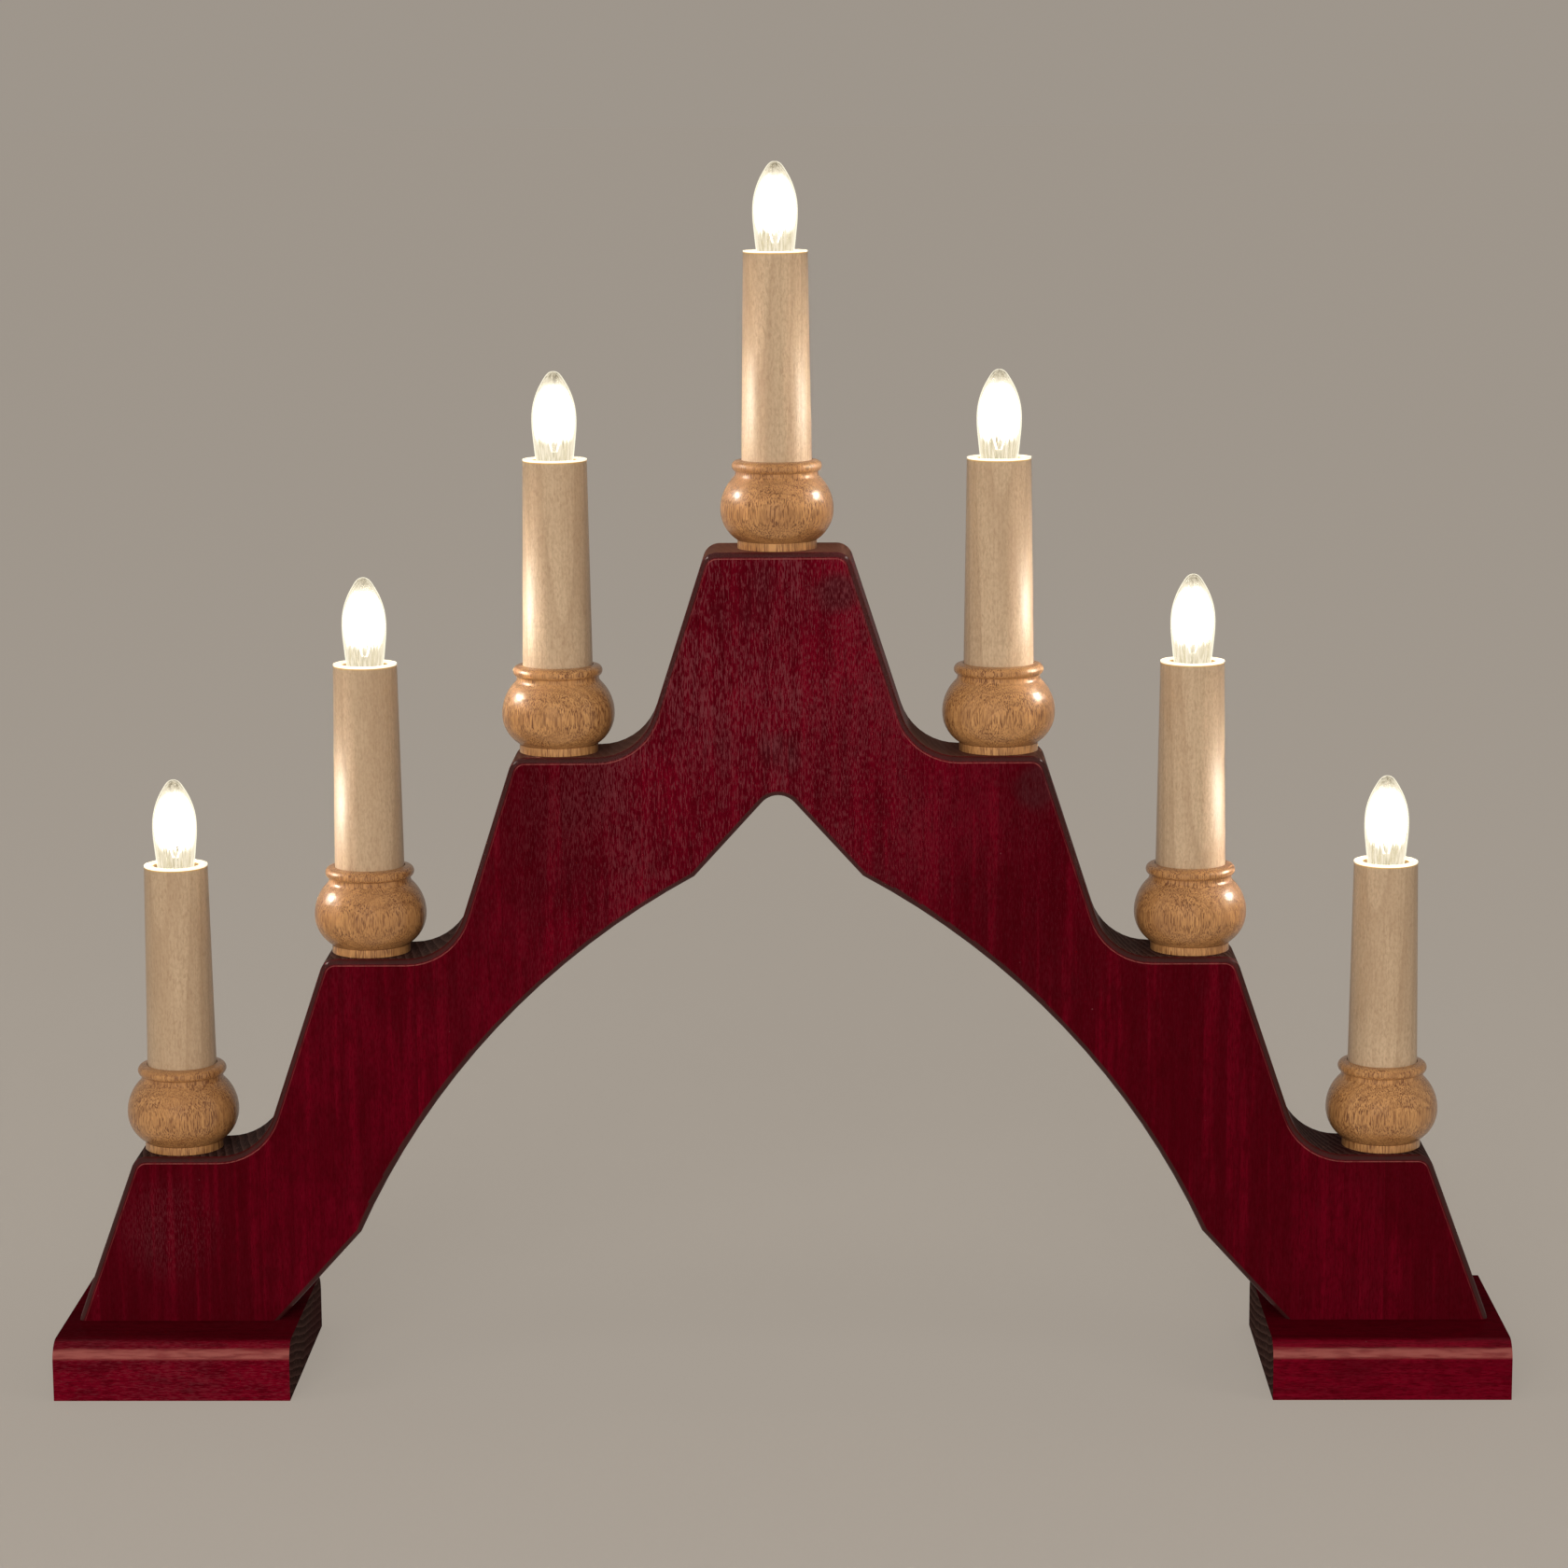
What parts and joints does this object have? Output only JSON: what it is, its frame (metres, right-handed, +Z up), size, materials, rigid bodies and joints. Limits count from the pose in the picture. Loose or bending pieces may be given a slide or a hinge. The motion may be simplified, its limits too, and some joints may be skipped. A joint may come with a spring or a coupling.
{
  "type": "candle arch",
  "caption": "Electric candle arch: a stepped wooden arch on two foot blocks, with turned cups, candle tubes and small screw-in candle bulbs.",
  "frame": {"origin": "on the table, midway between the two feet and midway through the board's thickness", "axes": "+X to the right seen from the front, along the arch; +Y to the back; +Z up"},
  "size_m": [0.432, 0.074, 0.3633],
  "materials": {
    "red_wood": "red stained and satin lacquered, with the grain showing",
    "beech": "clear gloss lacquer",
    "pale_wood": "clear satin lacquer",
    "bulb_glass": "clear fluted glass",
    "stem_glass": "clear glass mount and dark glass insulator",
    "brass": "plain brass, nickel-like sheen",
    "contact_metal": "tinned contact",
    "filament": "bright wire",
    "holder_plastic": "moulded, off-white",
    "lead_insulation": "thin insulated wire",
    "steel": "plain zinc plated"
  },
  "bodies": {
    "stand": {"arch_board": "red_wood", "foot_left": "red_wood", "foot_right": "red_wood", "foot_screws": "steel", "lampholders": "holder_plastic", "thread_sleeves": "brass", "centre_strips": "brass", "link_leads": "lead_insulation", "lead_staples": "steel", "cup_1": "beech", "candle_tube_1": "pale_wood", "cup_2": "beech", "candle_tube_2": "pale_wood", "cup_3": "beech", "candle_tube_3": "pale_wood", "cup_4": "beech", "candle_tube_4": "pale_wood", "cup_5": "beech", "candle_tube_5": "pale_wood", "cup_6": "beech", "candle_tube_6": "pale_wood", "cup_7": "beech", "candle_tube_7": "pale_wood"},
    "bulb_tip_1": {"bulb_contact_1": "contact_metal"},
    "bulb_1": {"bulb_glass_1": "bulb_glass", "bulb_cap_1": "brass", "bulb_stem_1": "stem_glass", "bulb_filament_1": "filament"},
    "bulb_tip_2": {"bulb_contact_2": "contact_metal"},
    "bulb_2": {"bulb_glass_2": "bulb_glass", "bulb_cap_2": "brass", "bulb_stem_2": "stem_glass", "bulb_filament_2": "filament"},
    "bulb_tip_3": {"bulb_contact_3": "contact_metal"},
    "bulb_3": {"bulb_glass_3": "bulb_glass", "bulb_cap_3": "brass", "bulb_stem_3": "stem_glass", "bulb_filament_3": "filament"},
    "bulb_tip_4": {"bulb_contact_4": "contact_metal"},
    "bulb_4": {"bulb_glass_4": "bulb_glass", "bulb_cap_4": "brass", "bulb_stem_4": "stem_glass", "bulb_filament_4": "filament"},
    "bulb_tip_5": {"bulb_contact_5": "contact_metal"},
    "bulb_5": {"bulb_glass_5": "bulb_glass", "bulb_cap_5": "brass", "bulb_stem_5": "stem_glass", "bulb_filament_5": "filament"},
    "bulb_tip_6": {"bulb_contact_6": "contact_metal"},
    "bulb_6": {"bulb_glass_6": "bulb_glass", "bulb_cap_6": "brass", "bulb_stem_6": "stem_glass", "bulb_filament_6": "filament"},
    "bulb_tip_7": {"bulb_contact_7": "contact_metal"},
    "bulb_7": {"bulb_glass_7": "bulb_glass", "bulb_cap_7": "brass", "bulb_stem_7": "stem_glass", "bulb_filament_7": "filament"}
  },
  "joints": [
    {"name": "bulb_lift_1", "type": "slide", "parent": "stand", "child": "bulb_tip_1", "axis": [0, 0, 1], "range_m": [0, 0.00817]},
    {"name": "bulb_turn_1", "type": "hinge", "parent": "bulb_tip_1", "child": "bulb_1", "pos_m": [-0.1808, 0, 0.2], "axis": [0, 0, 1], "range_deg": [0, 1620]},
    {"name": "bulb_lift_2", "type": "slide", "parent": "stand", "child": "bulb_tip_2", "axis": [0, 0, 1], "range_m": [0, 0.00817]},
    {"name": "bulb_turn_2", "type": "hinge", "parent": "bulb_tip_2", "child": "bulb_2", "pos_m": [-0.1226, 0, 0.2], "axis": [0, 0, 1], "range_deg": [0, 1620]},
    {"name": "bulb_lift_3", "type": "slide", "parent": "stand", "child": "bulb_tip_3", "axis": [0, 0, 1], "range_m": [0, 0.00817]},
    {"name": "bulb_turn_3", "type": "hinge", "parent": "bulb_tip_3", "child": "bulb_3", "pos_m": [-0.0653, 0, 0.2], "axis": [0, 0, 1], "range_deg": [0, 1620]},
    {"name": "bulb_lift_4", "type": "slide", "parent": "stand", "child": "bulb_tip_4", "axis": [0, 0, 1], "range_m": [0, 0.00817]},
    {"name": "bulb_turn_4", "type": "hinge", "parent": "bulb_tip_4", "child": "bulb_4", "pos_m": [0, 0, 0.2], "axis": [0, 0, 1], "range_deg": [0, 1620]},
    {"name": "bulb_lift_5", "type": "slide", "parent": "stand", "child": "bulb_tip_5", "axis": [0, 0, 1], "range_m": [0, 0.00817]},
    {"name": "bulb_turn_5", "type": "hinge", "parent": "bulb_tip_5", "child": "bulb_5", "pos_m": [0.0653, 0, 0.2], "axis": [0, 0, 1], "range_deg": [0, 1620]},
    {"name": "bulb_lift_6", "type": "slide", "parent": "stand", "child": "bulb_tip_6", "axis": [0, 0, 1], "range_m": [0, 0.00817]},
    {"name": "bulb_turn_6", "type": "hinge", "parent": "bulb_tip_6", "child": "bulb_6", "pos_m": [0.1226, 0, 0.2], "axis": [0, 0, 1], "range_deg": [0, 1620]},
    {"name": "bulb_lift_7", "type": "slide", "parent": "stand", "child": "bulb_tip_7", "axis": [0, 0, 1], "range_m": [0, 0.00817]},
    {"name": "bulb_turn_7", "type": "hinge", "parent": "bulb_tip_7", "child": "bulb_7", "pos_m": [0.1808, 0, 0.2], "axis": [0, 0, 1], "range_deg": [0, 1620]}
  ],
  "couplings": [
    {"joint": "bulb_lift_1", "follows": "bulb_turn_1", "m_per_rad": 0.00028871},
    {"joint": "bulb_lift_2", "follows": "bulb_turn_2", "m_per_rad": 0.00028871},
    {"joint": "bulb_lift_3", "follows": "bulb_turn_3", "m_per_rad": 0.00028871},
    {"joint": "bulb_lift_4", "follows": "bulb_turn_4", "m_per_rad": 0.00028871},
    {"joint": "bulb_lift_5", "follows": "bulb_turn_5", "m_per_rad": 0.00028871},
    {"joint": "bulb_lift_6", "follows": "bulb_turn_6", "m_per_rad": 0.00028871},
    {"joint": "bulb_lift_7", "follows": "bulb_turn_7", "m_per_rad": 0.00028871}
  ]
}
